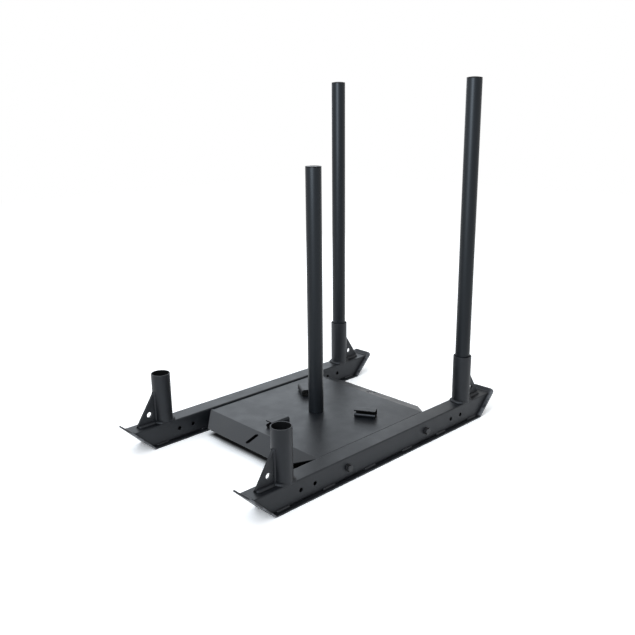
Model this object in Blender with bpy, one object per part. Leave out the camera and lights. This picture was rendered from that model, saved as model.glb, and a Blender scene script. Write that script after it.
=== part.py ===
# Weight sled: two runner rails, a folded steel deck with a post for weight discs, and two push poles.
# Metres, Z up. The origin is on the floor in the middle of the sled and Y runs along the rails.
# Front is the end with the empty sockets (-Y). Left is -X and right is +X.
import math

import bmesh
import bpy
from mathutils import Matrix

# Fits
TOUCH_GAP = 0.0003
BOLT_HOLE_CLEARANCE = 0.001

# Rails: box section with both ends mitred
RAIL_SPACING = 0.580
RAIL_LENGTH = 1.060
RAIL_WIDTH = 0.060
RAIL_HEIGHT = 0.065
RAIL_WALL = 0.003
RAIL_CORNER_RADIUS = 0.004
MITRE_ANGLE = math.radians(45)
ACCESSORY_HOLE_DIAMETER = 0.013
ACCESSORY_HOLE_SETBACK = 0.165
ACCESSORY_HOLE_PITCH = 0.053

# Runner shoes: one plate under each rail, turned up over the mitres
SHOE_THICKNESS = 0.005
SHOE_OVERHANG = 0.013
SHOE_LIP = 0.017
SHOE_CORNER_RADIUS = 0.012

# Pole sockets, set back from the rails' ends, and their gussets
SOCKET_SETBACK = 0.125
SOCKET_DIAMETER = 0.060
SOCKET_WALL = 0.003
SOCKET_HEIGHT = 0.160
GUSSET_THICKNESS = 0.008
GUSSET_FOOT = 0.064
GUSSET_TOE = 0.008
GUSSET_HEIGHT = 0.105
STRAP_HOLE_DIAMETER = 0.018
STRAP_HOLE_SETBACK = 0.022
STRAP_HOLE_HEIGHT = 0.033

# Push poles with a plug in each end
POLE_DIAMETER = 0.0483
POLE_WALL = 0.003
POLE_LENGTH = 1.050
POLE_FOOT_FLANGE = 0.003
POLE_CAP_RIM = 0.002
POLE_CAP_DOME = 0.003
PLUG_DEPTH = 0.020

# Deck: folded from one sheet, with flanges against the rails and a sloping apron at each end
DECK_SHEET = 0.003
DECK_DROP = 0.0045
DECK_SIDE_GAP = 0.0008
DECK_FLAT_LENGTH = 0.480
DECK_FLANGE_DEPTH = 0.046
DECK_BEND_RADIUS = 0.007
BEND_RELIEF_SETBACK = 0.008
BEND_RELIEF_WIDTH = 0.002
APRON_RUN = 0.070
APRON_SLOPE = math.radians(17.4)
APRON_TIP_WIDTH = 0.364
APRON_SLOT_LENGTH = 0.050
APRON_SLOT_WIDTH = 0.014
APRON_SLOT_SETBACK = 0.036

# Bolts that hold the deck between the rails
DECK_BOLT_OFFSET = 0.180
DECK_BOLT_DIAMETER = 0.012
DECK_BOLT_HEX = 0.019
DECK_BOLT_HEAD = 0.0075
DECK_BOLT_END = 0.003
DECK_WASHER_DIAMETER = 0.024
DECK_WASHER_THICKNESS = 0.0025
DECK_NUT_HEIGHT = 0.010

# Weight post, bolted down through the deck
POST_DIAMETER = 0.050
POST_WALL = 0.004
POST_HEIGHT = 0.800
POST_CAP_RIM = 0.003
POST_CAP_CHAMFER = 0.001
POST_PLUG_HEIGHT = 0.025
POST_BOLT_DIAMETER = 0.016
POST_BOLT_HEX = 0.024
POST_BOLT_HEAD = 0.010
POST_WASHER_DIAMETER = 0.036
POST_WASHER_THICKNESS = 0.003

# Plate rests: short channels that stand around the post
REST_ANGLES = {"right": 30, "left": 150, "front": 270}
REST_INNER_RADIUS = 0.133
REST_LENGTH = 0.070
REST_WIDTH = 0.034
REST_HEIGHT = 0.024
REST_WALL = 0.004
REST_BEND_RADIUS = 0.007

# Facets of round pieces
TUBE_SIDES = 48
FASTENER_SIDES = 24
CORNER_STEPS = 3
SHOE_CORNER_STEPS = 5
SLOT_STEPS = 8
DOME_STEPS = 4

# Finishes
COATED_STEEL = {"color": (0.050, 0.052, 0.057), "roughness": 0.5, "metallic": 0.0}
POLE_COAT = {"color": (0.042, 0.046, 0.054), "roughness": 0.42, "metallic": 0.0}
PLASTIC = {"color": (0.030, 0.031, 0.033), "roughness": 0.45, "metallic": 0.0}
BLACK_BOLTS = {"color": (0.070, 0.070, 0.075), "roughness": 0.35, "metallic": 0.8}
BARE_STEEL = {"color": (0.420, 0.420, 0.430), "roughness": 0.35, "metallic": 1.0}

# Heights and places that follow from the sizes above
RAIL_BOTTOM = SHOE_THICKNESS + TOUCH_GAP
RAIL_TOP = RAIL_BOTTOM + RAIL_HEIGHT
BOLT_LINE = RAIL_BOTTOM + RAIL_HEIGHT / 2
RAIL_SEAT = RAIL_TOP + TOUCH_GAP
SOCKET_OFFSET = RAIL_LENGTH / 2 - SOCKET_SETBACK
ACCESSORY_HOLE_OFFSET = RAIL_LENGTH / 2 - ACCESSORY_HOLE_SETBACK
DECK_TOP = RAIL_TOP - DECK_DROP
DECK_SEAT = DECK_TOP + TOUCH_GAP
DECK_HALF_WIDTH = (RAIL_SPACING - RAIL_WIDTH) / 2 - DECK_SIDE_GAP
SIDES = {"left": -1, "right": 1}
ENDS = {"front": -1, "rear": 1}


def paint(name, color, roughness, metallic):
    material = bpy.data.materials.new(name)
    material.use_nodes = True
    shader = material.node_tree.nodes["Principled BSDF"]
    shader.inputs["Base Color"].default_value = (*color, 1)
    shader.inputs["Roughness"].default_value = roughness
    shader.inputs["Metallic"].default_value = metallic
    return material


def add_object(name, mesh, finish=COATED_STEEL, location=(0, 0, 0), rotation=(0, 0, 0), parent=None):
    item = bpy.data.objects.new(name, mesh)
    item.location = location
    item.rotation_euler = rotation
    item.parent = parent
    bpy.context.scene.collection.objects.link(item)
    item.material_slots[0].link = "OBJECT"
    item.material_slots[0].material = paint(name + "_finish", **finish)
    return item


def to_mesh(bm, name):
    mesh = bpy.data.meshes.new(name)
    bm.to_mesh(mesh)
    bm.free()
    mesh.shade_smooth()
    mesh.set_sharp_from_angle(angle=math.radians(35))
    mesh.materials.append(None)
    return mesh


def solid(bm, name):
    bmesh.ops.remove_doubles(bm, verts=bm.verts, dist=0.00001)
    bmesh.ops.recalc_face_normals(bm, faces=bm.faces)
    return to_mesh(bm, name)


def flats(across):
    # Radius of a hexagon in any direction, from its width across flats
    def radius(angle):
        return across / 2 / math.cos(angle % (math.pi / 3) - math.pi / 6)
    return radius


def turned(profile, sides=TUBE_SIDES):
    # Turns an outline of (radius, height) points about Z; a radius may follow a hexagon's flats
    bm = bmesh.new()
    rings = []
    for i in range(sides):
        angle = i * math.tau / sides
        reach = [(radius(angle) if callable(radius) else radius, height) for radius, height in profile]
        rings.append([bm.verts.new((r * math.cos(angle), r * math.sin(angle), height)) for r, height in reach])
    for near, far in zip(rings, rings[1:] + rings[:1]):
        for j in range(len(profile)):
            on_axis = profile[j - 1][0] == 0 and profile[j][0] == 0
            if not on_axis:
                bm.faces.new((near[j - 1], far[j - 1], far[j], near[j]))
    bmesh.ops.remove_doubles(bm, verts=bm.verts, dist=0.00001)
    return bm


def tube(diameter, wall, bottom, top):
    outer = diameter / 2
    inner = outer - wall
    return turned([(inner, bottom), (outer, bottom), (outer, top), (inner, top)])


def ring(bore_diameter, outer_radius, bottom, top):
    bore = bore_diameter / 2
    return turned([(bore, bottom), (outer_radius, bottom), (outer_radius, top), (bore, top)], FASTENER_SIDES)


def prism(outline, bottom, top):
    # Extrudes an outline of (x, y) points along Z
    bm = bmesh.new()
    face = bm.faces.new([bm.verts.new((x, y, bottom)) for x, y in outline])
    made = bmesh.ops.extrude_face_region(bm, geom=[face])["geom"]
    raised = [part for part in made if isinstance(part, bmesh.types.BMVert)]
    bmesh.ops.translate(bm, verts=raised, vec=(0, 0, top - bottom))
    return bm


def placed(bm, matrix):
    bmesh.ops.transform(bm, matrix=matrix, verts=bm.verts)
    return bm


def arc(center_x, center_y, radius, start, end, steps):
    # Points of an arc between two angles in degrees
    angles = [math.radians(start + (end - start) * i / steps) for i in range(steps + 1)]
    return [(center_x + radius * math.cos(a), center_y + radius * math.sin(a)) for a in angles]


def rounded_rectangle(width, height, radius):
    x = width / 2 - radius
    y = height / 2 - radius
    corners = ((x, y, 0), (-x, y, 90), (-x, -y, 180), (x, -y, 270))
    return [point for cx, cy, start in corners for point in arc(cx, cy, radius, start, start + 90, CORNER_STEPS)]


def add_cutter(name, bm):
    cutter = add_object(name, solid(bm, name))
    cutter.hide_render = True
    cutter.display_type = "WIRE"
    return cutter


def hole_across(name, diameter, y, z):
    # Round cutter through the whole width of the sled
    half = RAIL_SPACING / 2 + RAIL_WIDTH
    bm = turned([(0, -half), (diameter / 2, -half), (diameter / 2, half), (0, half)], FASTENER_SIDES)
    return add_cutter(name, placed(bm, Matrix.Translation((0, y, z)) @ Matrix.Rotation(math.pi / 2, 4, "Y")))


def cut(item, cutters):
    for cutter in cutters:
        step = item.modifiers.new(cutter.name, "BOOLEAN")
        step.operation = "DIFFERENCE"
        step.object = cutter


def make_rail_mesh():
    # A hollow bar whose ends slope inwards from the top to the floor
    bm = bmesh.new()
    outer = rounded_rectangle(RAIL_WIDTH, RAIL_HEIGHT, RAIL_CORNER_RADIUS)
    inner_radius = max(RAIL_CORNER_RADIUS - RAIL_WALL, 0.0005)
    inner = rounded_rectangle(RAIL_WIDTH - 2 * RAIL_WALL, RAIL_HEIGHT - 2 * RAIL_WALL, inner_radius)
    loops = []
    for end in ENDS.values():
        for outline in (outer, inner):
            loop = []
            for x, height in outline:
                run = (RAIL_HEIGHT / 2 - height) / math.tan(MITRE_ANGLE)
                loop.append(bm.verts.new((x, end * (RAIL_LENGTH / 2 - run), BOLT_LINE + height)))
            loops.append(loop)
    front_outer, front_inner, rear_outer, rear_inner = loops
    for a, b in ((front_outer, rear_outer), (front_inner, rear_inner), (front_outer, front_inner),
                 (rear_outer, rear_inner)):
        for i in range(len(a)):
            bm.faces.new((a[i - 1], a[i], b[i], b[i - 1]))
    return solid(bm, "rail")


def make_shoe_mesh():
    # Sections across the plate: the bend, the start of the rounded corners, and the corners' arc
    slope_length = (RAIL_TOP - SHOE_THICKNESS) / math.sin(MITRE_ANGLE) + SHOE_LIP
    bend = RAIL_LENGTH / 2 - RAIL_HEIGHT / math.tan(MITRE_ANGLE) + TOUCH_GAP * math.tan(MITRE_ANGLE / 2)
    half_width = RAIL_WIDTH / 2 + SHOE_OVERHANG
    bend_reach = SHOE_THICKNESS * math.tan(MITRE_ANGLE / 2)
    sections = [((bend, SHOE_THICKNESS), (bend + bend_reach, 0), half_width)]
    for width, along in arc(half_width - SHOE_CORNER_RADIUS, slope_length - SHOE_CORNER_RADIUS,
                            SHOE_CORNER_RADIUS, 0, 90, SHOE_CORNER_STEPS):
        y = bend + along * math.cos(MITRE_ANGLE)
        z = SHOE_THICKNESS + along * math.sin(MITRE_ANGLE)
        under = (y + SHOE_THICKNESS * math.sin(MITRE_ANGLE), z - SHOE_THICKNESS * math.cos(MITRE_ANGLE))
        sections.append(((y, z), under, width))
    bm = bmesh.new()
    loops = []
    for end, half in ((-1, reversed(sections)), (1, sections)):
        for upper, lower, width in half:
            corners = ((-width, upper), (width, upper), (width, lower), (-width, lower))
            loops.append([bm.verts.new((x, end * y, z)) for x, (y, z) in corners])
    for near, far in zip(loops, loops[1:]):
        for i in range(4):
            bm.faces.new((near[i - 1], near[i], far[i], far[i - 1]))
    bm.faces.new(loops[0])
    bm.faces.new(loops[-1])
    return solid(bm, "shoe")


def make_gusset_mesh():
    # Outline in (distance out from the socket's axis, height); the plate stands in the YZ plane
    inner = SOCKET_DIAMETER / 2 + TOUCH_GAP
    outer = inner + GUSSET_FOOT
    outline = [(inner, 0), (outer, 0), (outer, GUSSET_TOE), (inner, GUSSET_HEIGHT)]
    upright = Matrix(((0, 0, 1, 0), (1, 0, 0, 0), (0, 1, 0, 0), (0, 0, 0, 1)))
    return solid(placed(prism(outline, -GUSSET_THICKNESS / 2, GUSSET_THICKNESS / 2), upright), "gusset")


def make_rest_mesh():
    # Channel bent from strip along local X, open on its -Y side
    w = REST_WIDTH / 2
    h = REST_HEIGHT
    r = REST_BEND_RADIUS
    inner = max(r - REST_WALL, 0.0005)
    x = w - r
    outline = [(-w, 0), *arc(x, r, r, -90, 0, CORNER_STEPS), *arc(x, h - r, r, 0, 90, CORNER_STEPS), (-w, h),
               (-w, h - REST_WALL), *arc(x, h - r, inner, 90, 0, CORNER_STEPS),
               *arc(x, r, inner, 0, -90, CORNER_STEPS), (-w, REST_WALL)]
    along = Matrix(((0, 0, 1, 0), (1, 0, 0, 0), (0, 1, 0, 0), (0, 0, 0, 1)))
    return solid(placed(prism(outline, -REST_LENGTH / 2, REST_LENGTH / 2), along), "plate_rest")


def make_deck_sheet():
    # The sheet's upper and outer skin; its thickness is added inwards
    bm = bmesh.new()
    skin = []
    wide = DECK_HALF_WIDTH
    flat = DECK_HALF_WIDTH - DECK_BEND_RADIUS
    bend = DECK_FLAT_LENGTH / 2
    relief = bend - BEND_RELIEF_SETBACK
    flange = relief - BEND_RELIEF_WIDTH
    tip = bend + APRON_RUN
    tip_top = DECK_TOP - APRON_RUN * math.tan(APRON_SLOPE)

    def add(*points):
        skin.append(bm.faces.new([bm.verts.new(point) for point in points]))

    for near, far in ((-bend, -relief), (-relief, -flange), (-flange, flange), (flange, relief), (relief, bend)):
        add((-flat, near, DECK_TOP), (flat, near, DECK_TOP), (flat, far, DECK_TOP), (-flat, far, DECK_TOP))
    for end in ENDS.values():
        add((-wide, end * bend, DECK_TOP), (-flat, end * bend, DECK_TOP), (flat, end * bend, DECK_TOP),
            (wide, end * bend, DECK_TOP), (APRON_TIP_WIDTH / 2, end * tip, tip_top),
            (-APRON_TIP_WIDTH / 2, end * tip, tip_top))
        for side in SIDES.values():
            add((side * flat, end * relief, DECK_TOP), (side * wide, end * relief, DECK_TOP),
                (side * wide, end * bend, DECK_TOP), (side * flat, end * bend, DECK_TOP))
    for side in SIDES.values():
        curve = arc(flat, DECK_TOP - DECK_BEND_RADIUS, DECK_BEND_RADIUS, 90, 0, CORNER_STEPS)
        curve.append((wide, DECK_TOP - DECK_FLANGE_DEPTH))
        for (x1, z1), (x2, z2) in zip(curve, curve[1:]):
            add((side * x1, -flange, z1), (side * x2, -flange, z2), (side * x2, flange, z2),
                (side * x1, flange, z1))
    top = skin[2]
    bmesh.ops.remove_doubles(bm, verts=bm.verts, dist=0.00001)
    bmesh.ops.recalc_face_normals(bm, faces=bm.faces)
    if top.normal.z < 0:
        bmesh.ops.reverse_faces(bm, faces=bm.faces)
    return to_mesh(bm, "deck_tray")


def make_slot_cutter(name, end):
    # Long hole through the apron, square to its slope
    radius = APRON_SLOT_WIDTH / 2
    reach = APRON_SLOT_LENGTH / 2 - radius
    outline = arc(0, reach, radius, 0, 180, SLOT_STEPS) + arc(0, -reach, radius, 180, 360, SLOT_STEPS)
    y = DECK_FLAT_LENGTH / 2 + APRON_SLOT_SETBACK * math.cos(APRON_SLOPE)
    z = DECK_TOP - APRON_SLOT_SETBACK * math.sin(APRON_SLOPE)
    place = Matrix.Translation((0, end * y, z)) @ Matrix.Rotation(-end * APRON_SLOPE, 4, "X")
    return add_cutter(name, placed(prism(outline, -2 * DECK_SHEET, 2 * DECK_SHEET), place))


def make_deck(bolt_holes):
    deck = add_object("deck_tray", make_deck_sheet())
    thickness = deck.modifiers.new("sheet", "SOLIDIFY")
    thickness.thickness = DECK_SHEET
    thickness.offset = -1
    thickness.use_even_offset = True
    thickness.use_quality_normals = True
    hole = POST_BOLT_DIAMETER / 2 + BOLT_HOLE_CLEARANCE / 2
    drill = turned([(0, -DECK_SHEET), (hole, -DECK_SHEET), (hole, DECK_SHEET), (0, DECK_SHEET)], FASTENER_SIDES)
    middle = Matrix.Translation((0, 0, DECK_TOP - DECK_SHEET / 2))
    cutters = [make_slot_cutter(name + "_slot_cutter", end) for name, end in ENDS.items()]
    cutters.append(add_cutter("post_hole_cutter", placed(drill, middle)))
    cut(deck, cutters + bolt_holes)


def make_rails(bolt_holes):
    accessory_holes = []
    for end_name, end in ENDS.items():
        for row, inset in (("outer", 0), ("inner", ACCESSORY_HOLE_PITCH)):
            y = end * (ACCESSORY_HOLE_OFFSET - inset)
            name = f"{end_name}_{row}_hole_cutter"
            accessory_holes.append(hole_across(name, ACCESSORY_HOLE_DIAMETER, y, BOLT_LINE))
    rail_mesh = make_rail_mesh()
    shoe_mesh = make_shoe_mesh()
    for side_name, side in SIDES.items():
        middle = (side * RAIL_SPACING / 2, 0, 0)
        cut(add_object(side_name + "_rail_tube", rail_mesh, location=middle), accessory_holes + bolt_holes)
        add_object(side_name + "_runner_shoe", shoe_mesh, location=middle)


def make_sockets():
    socket_mesh = solid(tube(SOCKET_DIAMETER, SOCKET_WALL, 0, SOCKET_HEIGHT), "socket")
    gusset_mesh = make_gusset_mesh()
    for end_name, end in ENDS.items():
        hole_y = end * (SOCKET_OFFSET + SOCKET_DIAMETER / 2 + STRAP_HOLE_SETBACK)
        strap_hole = hole_across(end_name + "_strap_hole_cutter", STRAP_HOLE_DIAMETER, hole_y,
                                 RAIL_TOP + STRAP_HOLE_HEIGHT)
        for side_name, side in SIDES.items():
            foot = (side * RAIL_SPACING / 2, end * SOCKET_OFFSET, RAIL_SEAT)
            outward = (0, 0, 0 if end > 0 else math.pi)
            label = f"{end_name}_{side_name}"
            add_object(label + "_socket", socket_mesh, location=foot)
            cut(add_object(label + "_gusset", gusset_mesh, location=foot, rotation=outward), [strap_hole])


def make_poles():
    # Each pole stands in a rear socket and lifts straight out of it
    rim_radius = POLE_DIAMETER / 2
    spigot_radius = rim_radius - POLE_WALL - TOUCH_GAP
    tube_bottom = POLE_FOOT_FLANGE + TOUCH_GAP
    tube_top = POLE_LENGTH - POLE_CAP_RIM - TOUCH_GAP
    rim_bottom = tube_top + TOUCH_GAP
    foot_profile = [(0, 0), (rim_radius, 0), (rim_radius, POLE_FOOT_FLANGE), (spigot_radius, POLE_FOOT_FLANGE),
                    (spigot_radius, tube_bottom + PLUG_DEPTH), (0, tube_bottom + PLUG_DEPTH)]
    cap_profile = [(0, tube_top - PLUG_DEPTH), (spigot_radius, tube_top - PLUG_DEPTH), (spigot_radius, rim_bottom),
                   (rim_radius, rim_bottom), (rim_radius, POLE_LENGTH)]
    for i in range(1, DOME_STEPS + 1):
        inward = i / DOME_STEPS
        cap_profile.append((rim_radius * (1 - inward), POLE_LENGTH + POLE_CAP_DOME * (1 - (1 - inward) ** 2)))
    tube_mesh = solid(tube(POLE_DIAMETER, POLE_WALL, tube_bottom, tube_top), "push_pole")
    foot_mesh = solid(turned(foot_profile), "pole_foot_plug")
    cap_mesh = solid(turned(cap_profile), "pole_cap")
    for side_name, side in SIDES.items():
        axis = bpy.data.objects.new(side_name + "_pole_axis", None)
        axis.location = (side * RAIL_SPACING / 2, SOCKET_OFFSET, RAIL_SEAT)
        bpy.context.scene.collection.objects.link(axis)
        add_object(side_name + "_push_pole", tube_mesh, finish=POLE_COAT, parent=axis)
        add_object(side_name + "_pole_foot_plug", foot_mesh, finish=PLASTIC, parent=axis)
        add_object(side_name + "_pole_cap", cap_mesh, finish=PLASTIC, parent=axis)


def make_post():
    seat = (0, 0, DECK_SEAT)
    rim_radius = POST_DIAMETER / 2
    inner_radius = rim_radius - POST_WALL - TOUCH_GAP
    tube_top = POST_HEIGHT - POST_CAP_RIM - TOUCH_GAP
    rim_bottom = tube_top + TOUCH_GAP
    bolt_bore = POST_BOLT_DIAMETER + 2 * TOUCH_GAP
    cap_profile = [(0, tube_top - PLUG_DEPTH), (inner_radius, tube_top - PLUG_DEPTH), (inner_radius, rim_bottom),
                   (rim_radius, rim_bottom), (rim_radius, POST_HEIGHT - POST_CAP_CHAMFER),
                   (rim_radius - POST_CAP_CHAMFER, POST_HEIGHT), (0, POST_HEIGHT)]
    add_object("weight_post", solid(tube(POST_DIAMETER, POST_WALL, 0, tube_top), "weight_post"), location=seat)
    add_object("post_cap", solid(turned(cap_profile), "post_cap"), finish=PLASTIC, location=seat)
    base = ring(bolt_bore, inner_radius, 0, POST_PLUG_HEIGHT)
    add_object("post_base_plug", solid(base, "post_base_plug"), finish=BARE_STEEL, location=seat)
    under_deck = DECK_TOP - DECK_SHEET - TOUCH_GAP
    washer = ring(bolt_bore, POST_WASHER_DIAMETER / 2, under_deck - POST_WASHER_THICKNESS, under_deck)
    add_object("post_washer", solid(washer, "post_washer"), finish=BARE_STEEL)
    head_top = under_deck - POST_WASHER_THICKNESS - TOUCH_GAP
    shank = POST_BOLT_DIAMETER / 2
    bolt = turned([(0, head_top - POST_BOLT_HEAD), (flats(POST_BOLT_HEX), head_top - POST_BOLT_HEAD),
                   (flats(POST_BOLT_HEX), head_top), (shank, head_top),
                   (shank, DECK_SEAT + POST_PLUG_HEIGHT), (0, DECK_SEAT + POST_PLUG_HEIGHT)], FASTENER_SIDES)
    add_object("post_bolt", solid(bolt, "post_bolt"), finish=BARE_STEEL)


def make_plate_rests():
    mesh = make_rest_mesh()
    radius = REST_INNER_RADIUS + REST_LENGTH / 2
    for label, degrees in REST_ANGLES.items():
        turn = math.radians(degrees)
        place = (radius * math.cos(turn), radius * math.sin(turn), DECK_SEAT)
        add_object(label + "_plate_rest", mesh, location=place, rotation=(0, 0, turn))


def make_deck_fasteners():
    # Heights run out from the rail's outer face, so the nut's side is negative
    bore = DECK_BOLT_DIAMETER + 2 * TOUCH_GAP
    shank = DECK_BOLT_DIAMETER / 2
    inner_face = -(RAIL_WIDTH + DECK_SIDE_GAP + DECK_SHEET)
    head_seat = DECK_WASHER_THICKNESS + 2 * TOUCH_GAP
    nut_top = inner_face - head_seat
    nut_end = nut_top - DECK_NUT_HEIGHT
    hexagon = flats(DECK_BOLT_HEX)
    bolt = turned([(0, nut_end - DECK_BOLT_END), (shank, nut_end - DECK_BOLT_END), (shank, head_seat),
                   (hexagon, head_seat), (hexagon, head_seat + DECK_BOLT_HEAD), (0, head_seat + DECK_BOLT_HEAD)],
                  FASTENER_SIDES)
    washer = (bore, DECK_WASHER_DIAMETER / 2)
    inner_washer_top = inner_face - TOUCH_GAP
    parts = {
        "deck_bolt": bolt,
        "deck_nut": ring(bore, hexagon, nut_end, nut_top),
        "head_washer": ring(*washer, TOUCH_GAP, TOUCH_GAP + DECK_WASHER_THICKNESS),
        "nut_washer": ring(*washer, inner_washer_top - DECK_WASHER_THICKNESS, inner_washer_top),
    }
    for part_name, bm in parts.items():
        mesh = solid(bm, part_name)
        for end_name, end in ENDS.items():
            for side_name, side in SIDES.items():
                face = (side * (RAIL_SPACING + RAIL_WIDTH) / 2, end * DECK_BOLT_OFFSET, BOLT_LINE)
                add_object(f"{end_name}_{side_name}_{part_name}", mesh, finish=BLACK_BOLTS, location=face,
                           rotation=(0, side * math.pi / 2, 0))


for old in list(bpy.data.objects):
    bpy.data.objects.remove(old)
deck_bolt_holes = [hole_across(name + "_bolt_hole_cutter", DECK_BOLT_DIAMETER + BOLT_HOLE_CLEARANCE,
                               end * DECK_BOLT_OFFSET, BOLT_LINE) for name, end in ENDS.items()]
make_rails(deck_bolt_holes)
make_sockets()
make_deck(deck_bolt_holes)
make_deck_fasteners()
make_post()
make_plate_rests()
make_poles()
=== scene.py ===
# Weight sled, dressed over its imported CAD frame. Metres, Z up: the empty sockets are at -Y, the poles at +Y.
import math
import bmesh
import bpy
import numpy as np
from mathutils import Matrix, Vector


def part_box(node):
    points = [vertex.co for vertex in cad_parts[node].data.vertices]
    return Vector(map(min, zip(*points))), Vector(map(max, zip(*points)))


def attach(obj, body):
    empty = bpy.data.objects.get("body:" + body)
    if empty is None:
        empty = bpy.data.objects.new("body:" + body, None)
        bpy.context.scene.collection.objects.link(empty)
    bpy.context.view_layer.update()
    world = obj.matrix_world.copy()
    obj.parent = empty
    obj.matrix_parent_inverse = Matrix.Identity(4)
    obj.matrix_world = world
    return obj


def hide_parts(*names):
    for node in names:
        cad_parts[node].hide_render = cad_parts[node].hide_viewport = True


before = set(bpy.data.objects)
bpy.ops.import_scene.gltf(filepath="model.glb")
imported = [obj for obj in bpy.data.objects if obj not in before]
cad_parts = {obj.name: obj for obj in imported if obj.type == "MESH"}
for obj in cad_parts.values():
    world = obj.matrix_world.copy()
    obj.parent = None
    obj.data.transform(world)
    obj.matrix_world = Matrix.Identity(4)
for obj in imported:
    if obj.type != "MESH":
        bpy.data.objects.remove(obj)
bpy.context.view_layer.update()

touchGap = 0.0003  # metres between solids that touch in the CAD
farBelow = -9.0  # a height under every piece
sharpAngle = 40  # degrees; corners sharper than this are rounded

cameraView = {
    "place": (1.6843, -1.6071, 1.0450),  # metres
    "azimuth": 46.1483,  # degrees round the sled, 0 looks along +Y
    "elevation": 15.7611,
    "roll": -0.6074,
    "focalPixels": 753.71,
    "imagePixels": 635,
    "sensor": 36.0,  # millimetres
}


def addCamera(view):
    turn, tilt, roll = (math.radians(view[key]) for key in ("azimuth", "elevation", "roll"))
    back = Vector((math.sin(turn) * math.cos(tilt), -math.cos(turn) * math.cos(tilt), math.sin(tilt)))
    across = Vector((math.cos(turn), math.sin(turn), 0))
    upward = back.cross(across)
    right = across * math.cos(roll) + upward * math.sin(roll)
    top = upward * math.cos(roll) - across * math.sin(roll)
    lens = bpy.data.cameras.new("camera")
    lens.sensor_width = view["sensor"]
    lens.lens = view["focalPixels"] / view["imagePixels"] * view["sensor"]
    holder = bpy.data.objects.new("camera", lens)
    bpy.context.scene.collection.objects.link(holder)
    facing = Matrix((right, top, back)).transposed().to_4x4()
    holder.matrix_world = Matrix.Translation(view["place"]) @ facing
    bpy.context.scene.camera = holder


addCamera(cameraView)
bpy.context.scene.view_settings.view_transform = "Standard"
print("camera set")


# Shared surface makers. A sheet is a rows x columns grid of points with quads between neighbours.
def grid(points, closeRows=False, closeColumns=False):
    rows, columns = points.shape[:2]
    spans = np.arange(rows - (not closeRows)), np.arange(columns - (not closeColumns))
    i, j = np.meshgrid(*spans, indexing="ij")
    below, beside = (i + 1) % rows, (j + 1) % columns
    corners = (i, j), (i, beside), (below, beside), (below, j)
    quads = np.stack([row * columns + column for row, column in corners], axis=-1)
    return points.reshape(-1, 3), quads.reshape(-1, 4)


def placedGrid(x, y, z, closeRows=False, closeColumns=False):
    # The three coordinates spread over one grid
    return grid(np.stack(np.broadcast_arrays(x, y, z), axis=-1).astype(float), closeRows, closeColumns)


def turned(profile, centre, sides, closed=False):
    # Each (radius, height) of the profile goes round Z at equal angles
    angle = np.linspace(0, 2 * np.pi, sides, endpoint=False)[:, None]
    radius, height = profile[:, 0][None], profile[:, 1][None]
    x, y = centre[0] + radius * np.cos(angle), centre[1] + radius * np.sin(angle)
    return placedGrid(x, y, height, True, closed)


def arcPoints(centreA, centreB, radius, start, end, steps):
    # Points of an arc between two angles in degrees
    angle = np.radians(np.linspace(start, end, steps + 1))
    return np.stack([centreA + radius * np.cos(angle), centreB + radius * np.sin(angle)], axis=-1)


def makeMesh(name, sheets):
    # The sheets become one mesh, with shared borders merged
    starts = np.cumsum([0] + [len(points) for points, _ in sheets[:-1]])
    points = np.concatenate([points for points, _ in sheets])
    quads = np.concatenate([quads + start for (_, quads), start in zip(sheets, starts)])
    mesh = bpy.data.meshes.new(name)
    mesh.from_pydata(points.tolist(), [], quads.tolist())
    bm = bmesh.new()
    bm.from_mesh(mesh)
    bmesh.ops.remove_doubles(bm, verts=bm.verts, dist=0.00002)
    bmesh.ops.recalc_face_normals(bm, faces=bm.faces)
    bm.to_mesh(mesh)
    bm.free()
    mesh.shade_smooth()
    return mesh


def outwardArea(mesh, point):
    # Positive where the faces look away from the point
    return sum((face.center - point).dot(face.normal) * face.area for face in mesh.polygons)


def addPiece(name, sheets, finish, slot, body="sled", stands=(), wall=0.0, edge=0.0, within=None,
             shadeLining=None):
    # wall thickens an open skin towards the point within, and the lining, a darker coat of painted shade,
    # goes on its inner and cut faces; edge rounds the sharp corners
    mesh = makeMesh(name, sheets)
    if within and outwardArea(mesh, Vector(within)) < 0:
        mesh.flip_normals()
    piece = bpy.data.objects.new(name, mesh)
    bpy.context.scene.collection.objects.link(piece)
    mesh.materials.append(finish)
    if wall:
        sheet = piece.modifiers.new("sheet", "SOLIDIFY")
        sheet.thickness = wall
        sheet.offset = -1
        sheet.use_even_offset = True
        if shadeLining:
            mesh.materials.append(shadeLining)
            sheet.material_offset = sheet.material_offset_rim = 1
    if edge:
        rounding = piece.modifiers.new("edges", "BEVEL")
        rounding.width = edge
        rounding.segments = 2
        rounding.limit_method = "ANGLE"
        rounding.angle_limit = math.radians(sharpAngle)
    shading = piece.modifiers.new("shading", "WEIGHTED_NORMAL")
    shading.mode = "FACE_AREA"
    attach(piece, body)
    if stands:
        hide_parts(*stands)
    return piece


# Finishes: each is worked out from Object coordinates
def linkNodes(tree, source, output, target, socket):
    tree.links.new(source.outputs[output], target.inputs[socket])


def addNoise(tree, scale, detail, stretch=(1, 1, 1)):
    place = tree.nodes.new("ShaderNodeTexCoord")
    spread = tree.nodes.new("ShaderNodeMapping")
    spread.inputs["Scale"].default_value = stretch
    noise = tree.nodes.new("ShaderNodeTexNoise")
    noise.inputs["Scale"].default_value = scale
    noise.inputs["Detail"].default_value = detail
    linkNodes(tree, place, "Object", spread, "Vector")
    linkNodes(tree, spread, "Vector", noise, "Vector")
    return noise


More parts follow.
